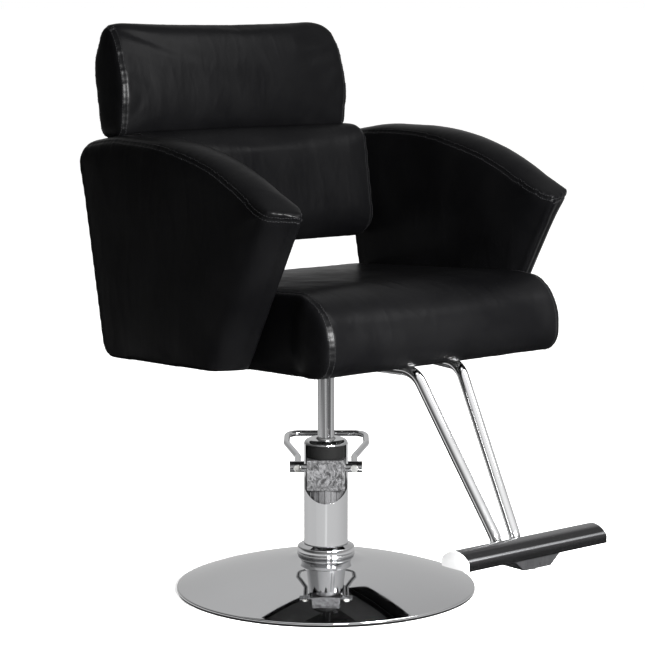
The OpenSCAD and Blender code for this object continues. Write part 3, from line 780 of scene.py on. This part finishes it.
def even_mesh(bm, name, voxel, smoothing=4, cut=None):
    """Remeshes a solid into small even faces, after cutting a box out of it if one is given."""
    mesh = bpy.data.meshes.new(name)
    bm.to_mesh(mesh)
    bm.free()
    obj = bpy.data.objects.new(name, mesh)
    scene.collection.objects.link(obj)
    tool = None
    if cut:
        tool = bpy.data.objects.new("cutter", box_mesh("cutter", *cut))
        scene.collection.objects.link(tool)
        boolean = obj.modifiers.new("cut", "BOOLEAN")
        boolean.operation = "DIFFERENCE"
        boolean.solver = "EXACT"
        boolean.object = tool
    remesh = obj.modifiers.new("remesh", "REMESH")
    remesh.mode = "VOXEL"
    remesh.voxel_size = voxel
    soften = obj.modifiers.new("soften", "SMOOTH")
    soften.factor = 0.5
    soften.iterations = smoothing
    applied(obj)
    if tool:
        bpy.data.objects.remove(tool, do_unlink=True)
    return obj


def pins_near(mesh, paths, reach):
    """Vertices held in a simulation because they are near a seam."""
    tree = tree_of([p for path in paths for p in path])
    pins = {}
    for v in mesh.vertices:
        distance = tree.find(v.co)[2]
        if distance < reach:
            pins[v.index] = 1.0 if distance < reach * 0.6 else 0.5
    return pins


def shrink_between(mesh, paths, inset, reach, fixed=()):
    """Draws a mesh in by inset away from its seams, to leave room for it to swell."""
    tree = tree_of([p for path in paths for p in path])
    fixed = set(fixed)
    moves = []
    for v in mesh.vertices:
        distance = tree.find(v.co)[2]
        amount = 0.0 if v.index in fixed else inset * (1 - math.exp(-(distance / reach) ** 2))
        moves.append(v.normal * amount)
    for v, move in zip(mesh.vertices, moves):
        v.co -= move


def relaxed(obj, iterations):
    mod = obj.modifiers.new("relax", "SMOOTH")
    mod.factor = 0.5
    mod.iterations = iterations
    return applied(obj)


def subdivided(obj, levels=1):
    mod = obj.modifiers.new("subdivide", "SUBSURF")
    mod.levels = levels
    mod.render_levels = levels
    return applied(obj)


def creases(mesh, amount, scale, stretch=(1, 1, 1), seed=0.0):
    """Low folds in the leatherette: smooth noise along the normals, drawn out along the stretched axis."""
    normals = [v.normal.copy() for v in mesh.vertices]
    for v, n in zip(mesh.vertices, normals):
        p = Vector((v.co.x * stretch[0], v.co.y * stretch[1], v.co.z * stretch[2])) * scale
        p.x += seed
        wave = noise.fractal(p, 0.7, 2.1, 4)
        ridge = 1 - abs(noise.noise(p * 1.7 + Vector((7.1, 3.3, seed)))) * 2.2
        v.co += n * amount * (wave * 0.7 + max(0.0, ridge - 0.55) * 0.9)


def upholstered(obj, name, node, seams, pins, cap, fold=None, inset=0.003, reach=0.03,
                groove_depth=0.0016, groove_width=0.003, rows=(0.0042, -0.0042), pressure=4.0, relax=8):
    """Swells a cushion between its seams, then sews them."""
    mesh = obj.data
    held = {i for i, w in pins.items() if w > 0.9}
    shrink_between(mesh, seams, inset, reach, held)
    inflate(obj, pins, cap, pressure)
    relaxed(obj, relax)
    subdivided(obj)
    mesh = obj.data
    if fold:
        creases(mesh, *fold)
    groove(mesh, seams, groove_depth, groove_width)
    obj.name = name
    mesh.name = name
    mesh.materials.clear()
    mesh.materials.append(MATERIALS["black_leatherette"])
    mesh.polygons.foreach_set("use_smooth", [True] * len(mesh.polygons))
    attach(obj, "seat")
    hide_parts(node)
    stitches(name + "_stitching", obj, [(path, offset) for path in seams for offset in rows])
    return obj


# ---- Seat, back and headrest: rolls with a sewn panel at each end ------------------------------------
SEAT = [(-302.5, 413.4, 37), (-302.5, 544.5, 78), (222, 515, 32), (214, 392.5, 24)]
BACK = [(146.5, 563.5, 42), (176.5, 768, 32), (256, 760, 16), (228, 565.5, 28)]
HEAD = [(236, 746, 24), (226, 838, 150), (251, 927, 90), (287, 962, 21), (322, 880, 62), (300, 746, 24)]


def rolled(points, outline, half, reach, draw, crown=(0.0, 0.0)):
    """Draws points in near the ends of a roll; crown lowers the top more at the left and right ends."""
    middle = sum(outline, Vector((0, 0))) / len(outline) * MM
    floor = min(p.y for p in outline) * MM
    for p in points:
        t = min(1.0, max(0.0, (abs(p.x) / MM - (half - reach)) / reach))
        scale = 1 - draw * (1 - math.sqrt(1 - t * t * 0.96))
        p.y = middle.x + (p.y - middle.x) * scale
        p.z = middle.y + (p.z - middle.y) * scale
        lower = crown[0] if p.x < 0 else crown[1]
        if lower:
            t = min(1.0, max(0.0, (abs(p.x) / MM - (half - 62)) / 62))
            p.z = floor + (p.z - floor) * (1 - lower * (1 - math.sqrt(1 - t * t * 0.96)))


def end_seams(outline, x):
    """The seam round each end of a roll, on the roll's surface."""
    ring = list(outline) + [outline[0]]
    return [dense([Vector((side * x * MM, p[0] * MM, p[1] * MM)) for p in ring], 0.0015)
            for side in (-1, 1)]


def flare(points):
    """Widens the front of the seat, ahead of the arms."""
    for p in points:
        t = min(1.0, max(0.0, (-0.208 - p.y) / 0.05))
        p.x *= 1 + 0.035 * t * t * (3 - 2 * t)


def make_roll(name, node, corners, half, seam_x, cap, fold, draw, relax, crown=(0.0, 0.0)):
    outline = outline_mm(corners)
    obj = even_mesh(prism(outline, -half, half), name + "_pad", 0.005, 5)
    seams = end_seams(outline, seam_x)
    rolled([v.co for v in obj.data.vertices], outline, half, 30, draw, crown)
    for seam in seams:
        rolled(seam, outline, half, 30, draw, crown)
    pins = pins_near(obj.data, seams, 0.006)
    return upholstered(obj, name + "_upholstery", node, seams, pins, cap, fold, relax=relax)


def make_seat():
    outline = outline_mm(SEAT)
    recess = ((-0.2205, -0.2785, 0.35), (0.2205, 0.2005, 0.4357))
    obj = even_mesh(prism(outline, -243, 243), "seat_pad", 0.005, 5, recess)
    seams = end_seams(outline, 230)
    rolled([v.co for v in obj.data.vertices], outline, 243, 15, 0.07)
    flare([v.co for v in obj.data.vertices])
    for seam in seams:
        flare(seam)
    pins = pins_near(obj.data, seams, 0.006)
    for v in obj.data.vertices:
        x, y, z = v.co
        if z < 0.44 and abs(x) < 0.23 and -0.285 < y < 0.21:
            pins[v.index] = 1.0
    return upholstered(obj, "seat_upholstery", "seat_cushion", seams, pins, 0.007,
                       (0.0005, 13, (1.5, 0.5, 0.6), 3.0))


def make_back():
    return make_roll("back", "back_cushion", BACK, 240, 235, 0.006,
                     (0.00045, 15, (1.6, 0.6, 0.5), 11.0), 0.07, 6)


def make_headrest():
    return make_roll("headrest", "headrest_cushion", HEAD, 244, 237, 0.006,
                     (0.0004, 15, (1.6, 0.6, 0.5), 23.0), 0.09, 8, (0.06, 0.2))


# ---- Arms ------------------------------------------------------------------------------------------------
ARM = [(-268, 660, 12), (-95, 766, 550), (160, 766, 300), (257, 751, 26), (186.4, 402.5, 30), (-133, 413.7, 20)]
NOSE = [(263, 0, 4), (319, 24, 24), (319, 620, 0), (246, 620, 0), (246, 34, 60)]
ARM_MIDDLE = 282.5
ARM_HALF = 36.5
OUTER_SEAM = [(313, 240, 747), (313, 170, 756), (313, 114, 755), (313, 19, 748), (313, -88, 726),
              (313, -150, 702), (313, -190, 682), (314, -215, 668), (311, -237, 660),
              (300, -251, 655), (282, -260, 653), (266, -267, 652)]
INNER_SEAM = [(252, 240, 746), (252, 114, 752), (252, 19, 746), (252, -88, 724), (252, -150, 703),
              (252, -189, 685), (255, -228, 669), (260, -250, 661), (264, -265, 657)]


def crest(outline, y):
    """Height of the top of a side outline at depth y, in mm."""
    best = -1e9
    for a, b in zip(outline, outline[1:] + outline[:1]):
        if min(a[0], b[0]) <= y <= max(a[0], b[0]) and abs(b[0] - a[0]) > 1e-6:
            best = max(best, a[1] + (b[1] - a[1]) * (y - a[0]) / (b[0] - a[0]))
    return best


def smooth_path(points, steps=14):
    """A smooth curve through points."""
    points = [Vector(p) for p in points]
    ends = [points[0] * 2 - points[1]] + points + [points[-1] * 2 - points[-2]]
    out = []
    for i in range(1, len(ends) - 2):
        a, b, c, d = ends[i - 1:i + 3]
        for k in range(steps):
            t = k / steps
            out.append(0.5 * ((2 * b) + (c - a) * t + (2 * a - 5 * b + 4 * c - d) * t * t
                              + (3 * b - a - 3 * c + d) * t ** 3))
    out.append(points[-1])
    return out


def onto(obj, path):
    surface = surface_of(obj)
    return [surface.find_nearest(p)[0] for p in path]


def make_arm(side):
    """The right arm (+X) for side 1, the left for side -1."""
    outline = outline_mm(ARM, 14)
    bm = prism(outline, 246, 319)
    lean = math.atan2(-133 + 268, 660 - 413.7)
    spin = Matrix.Rotation(lean, 3, "X")
    base = Vector((0, -268 * MM, 660 * MM))
    nose = outline_mm(NOSE, 10)
    for a, b in zip(nose, nose[1:] + nose[:1]):
        edge = b - a
        if edge.length < 1e-6:
            continue
        out = Vector((edge.y, -edge.x, 0)).normalized()
        point = base + spin @ Vector((a.x * MM, a.y * MM, 0))
        cut = bmesh.ops.bisect_plane(bm, geom=bm.verts[:] + bm.edges[:] + bm.faces[:], dist=1e-7,
                                     plane_co=point, plane_no=spin @ out, clear_outer=True)
        rim = [e for e in cut["geom_cut"] if isinstance(e, bmesh.types.BMEdge)]
        if rim:
            bmesh.ops.holes_fill(bm, edges=rim, sides=0)
    name = "arm_pad_right" if side > 0 else "arm_pad_left"
    obj = even_mesh(bm, name, 0.0045, 5)
    tops = {}
    for v in obj.data.vertices:
        y = v.co.y / MM
        key = round(y)
        if key not in tops:
            tops[key] = crest(outline, min(max(y, -262), 250))
        below = tops[key] - v.co.z / MM
        across = min(1.0, abs(v.co.x / MM - ARM_MIDDLE) / ARM_HALF)
        drop = 24 * (1 - math.sqrt(1 - across * across * 0.97))
        front = min(1.0, max(0.0, (y + 262) / 60))
        v.co.z -= drop * MM * max(0.0, 1 - max(0.0, below) / 90) * front
    seams = [onto(obj, [p * MM for p in smooth_path(s)]) for s in (OUTER_SEAM, INNER_SEAM)]
    if side < 0:
        obj.data.transform(Matrix.Scale(-1, 4, (1, 0, 0)))
        obj.data.flip_normals()
        seams = [[Vector((-p.x, p.y, p.z)) for p in s] for s in seams]
    seams = [dense(s, 0.0015) for s in seams]
    pins = pins_near(obj.data, seams, 0.005)
    rim = tree_of(dense([Vector((0, p[0] * MM, p[1] * MM)) for p in outline], 0.002, True))
    for v in obj.data.vertices:
        if v.normal.z < 0.3 and rim.find((0, v.co.y, v.co.z))[2] < 0.007:
            pins[v.index] = 1.0
    which = "right" if side > 0 else "left"
    return upholstered(obj, "arm_upholstery_" + which, "arm_" + which, seams, pins, 0.005,
                       (0.0004, 11, (1, 1.3, 0.5), 31.0 + side), inset=0.002, reach=0.02,
                       groove_depth=0.0014, groove_width=0.0026, rows=(0.0036, -0.0036), relax=4)


# ---- Base and column ----------------------------------------------------------------------------------------
def make_base():
    def height(r):
        t = (248 - r) / 178
        neck = 2.6 * ((70 - r) / 22) ** 2 if r < 70 else 0
        return 8.2 + 44.5 * (1.45 * t - 0.45 * t * t) + neck
    radii = [46 + 201.2 * k / 90 for k in range(91)]
    top = [(r, height(r)) for r in radii]
    rim = [(248.3, 8.15), (249.2, 7.7), (249.8, 6.9), (250, 5.9), (250, 1.8), (249.7, 1.2), (249.1, 1.0),
           (248.2, 1.0), (247.8, 1.4), (247.8, 5.4)]
    under = [(r, height(r) - 2.2) for r in reversed(radii[::3])]
    add_piece("base_dish", lathe("base_dish", top + rim + under, 256), "base", "chrome_plate",
              ["base_cover"], sharp=40)
    collar = round_corners([(37.1, 59, 0), (48.5, 59, 2.2), (48.5, 63.6, 1.6), (46.6, 64.9, 0.5),
                            (48, 66.3, 1.2), (47.6, 74.6, 3), (40.2, 79, 1.4), (37.1, 79, 0)], 0, 6)
    add_piece("base_trim", lathe("base_trim", collar, 192), "base", "chrome_plate", ["base_collar"], sharp=50)


def make_column():
    refined("column_cover", "base", "column_shell", 0.0004)
    refined("pump_head", "base", "pump_body", 0.0011)
    refined("pump_cap", "base", "pump_cap_ring", 0.0012)
    refined("pump_cylinder", "base", "pump_barrel", 0.0003)
    refined("piston_rod", "seat", "ram", 0.0004, STREAKED_REFLECTION_CHROME)
    refined("pivot_shafts", "pedal", "pivot_stubs", 0.0008)
    refined("clamp_screws", "pedal", "pivot_screws", 0.0006)


def make_spring():
    """The plunger's return spring, which sits between the plunger's head and the pump head's floor, copied as a
    piece with a mesh of its own; this code does not make it close up.
    """
    spring = refined("plunger_spring", "plunger", "return_spring")
    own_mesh(spring)


def make_pedal():
    tilt = Matrix.Rotation(math.radians(4), 4, "X")
    yaw = Matrix.Rotation(math.radians(-40), 4, "Z")
    place = yaw @ Matrix.Translation((0, 0, 0.2077)) @ tilt
    half = [(-47.5, -2, 0, 0), (-47.5, 63, 0, 26), (-69, 153, 0, 26), (-69, 221, 0, 22)]
    corners = half + [(-x, y, z, r) for x, y, z, r in reversed(half)]
    path = fillet_path(corners)
    mesh = sweep("pedal_rod", path, 0.0055, 32)
    mesh.transform(place)
    add_piece("pedal_rod", mesh, "pedal", "chrome_plate", ["pedal_lever"], sharp=50)


# ---- Footrest --------------------------------------------------------------------------------------------------
def make_footrest():
    start = Vector((46.6, -275.5))
    end = Vector((19.8, -429.3))
    way = (end - start).normalized()
    slope = (end - start).length / 240

    def at(reach, z):
        p = start + way * reach
        return (p.x, p.y, z)

    level = 408.0
    low_z = 405 - 156.3 / slope
    corners = [(*at(-178, level), 0), (*at((405 - level) * slope, level), 40),
               (*at(156.3, low_z), 30), (*at(156.3, 133.5), 0)]
    for side, word in ((1, "right"), (-1, "left")):
        path = [Vector((p.x * side, p.y, p.z)) for p in fillet_path(corners, 3)]
        mesh = sweep("footrest_tube_" + word, path, 0.00925, 32, 0.00765)
        add_piece("footrest_leg_" + word, mesh, "seat", "chrome_plate", ["footrest_tube_" + word], LIT_CHROME_COPY, 50)
    refined("footrest_bracket", "seat", "footrest_saddle", 0.0008, GRAPHITE)
    make_bar()


def bar_outline(inset=0.0):
    """The bar's section in mm, with a lip and a narrow groove along its front and back."""
    mid, half = -474.75, 28.75 - inset
    low, shoulder, top = 147.7 + inset, 160.0, 174.5 - inset
    rise = top - shoulder
    r = (half * half + rise * rise) / (2 * rise)
    sweep_angle = math.asin(min(1, (half - 0.9) / r))
    dome = [(mid + r * math.sin(a), top - r + r * math.cos(a))
            for a in [sweep_angle * (1 - 2 * k / 40) for k in range(41)]]
    side = [(half - 0.9, shoulder - 0.2), (half, shoulder - 0.9), (half, low + 1.6), (half - 0.5, low + 0.5),
            (half - 1.6, low)]
    right = [(mid + x, z) for x, z in reversed(side)]
    left = [(mid - x, z) for x, z in side]
    return [Vector(p) for p in right + dome + left]


def make_bar():
    outline = bar_outline()
    mesh = bpy.data.meshes.new("footrest_tread")
    bm = prism(outline, -145.4, 145.4)
    bm.to_mesh(mesh)
    bm.free()
    add_piece("footrest_tread", mesh, "seat", "gloss_bar", ["footrest_bar"], sharp=38)
    for side, word in ((1, "right"), (-1, "left")):
        verts, faces = [], []
        outline = bar_outline(0.1)
        middle = sum(outline, Vector((0, 0))) / len(outline)
        rows = [(145.0, 1.0), (147.7, 1.0), (148.2, 0.985), (148.5, 0.955)]
        for x, grow in rows:
            verts += [(side * x * MM, (middle.x + (p.x - middle.x) * grow) * MM,
                       (middle.y + (p.y - middle.y) * grow) * MM) for p in outline]
        count = len(outline)
        for k in range(len(rows) - 1):
            for i in range(count):
                j = (i + 1) % count
                faces.append((k * count + i, k * count + j, (k + 1) * count + j, (k + 1) * count + i))
        faces.append(tuple(range(count)))
        faces.append(tuple(reversed(range(3 * count, 4 * count))))
        mesh = mesh_from("footrest_end_" + word, verts, faces)
        outward(mesh)
        add_piece("footrest_end_" + word, mesh, "seat", "satin_silver", ["end_cap_" + word], sharp=40)


make_camera()
make_stage()
dress_cad_nodes()
make_base()
make_column()
make_spring()
make_pedal()
make_footrest()
make_seat()
make_back()
make_headrest()
make_arm(1)
make_arm(-1)
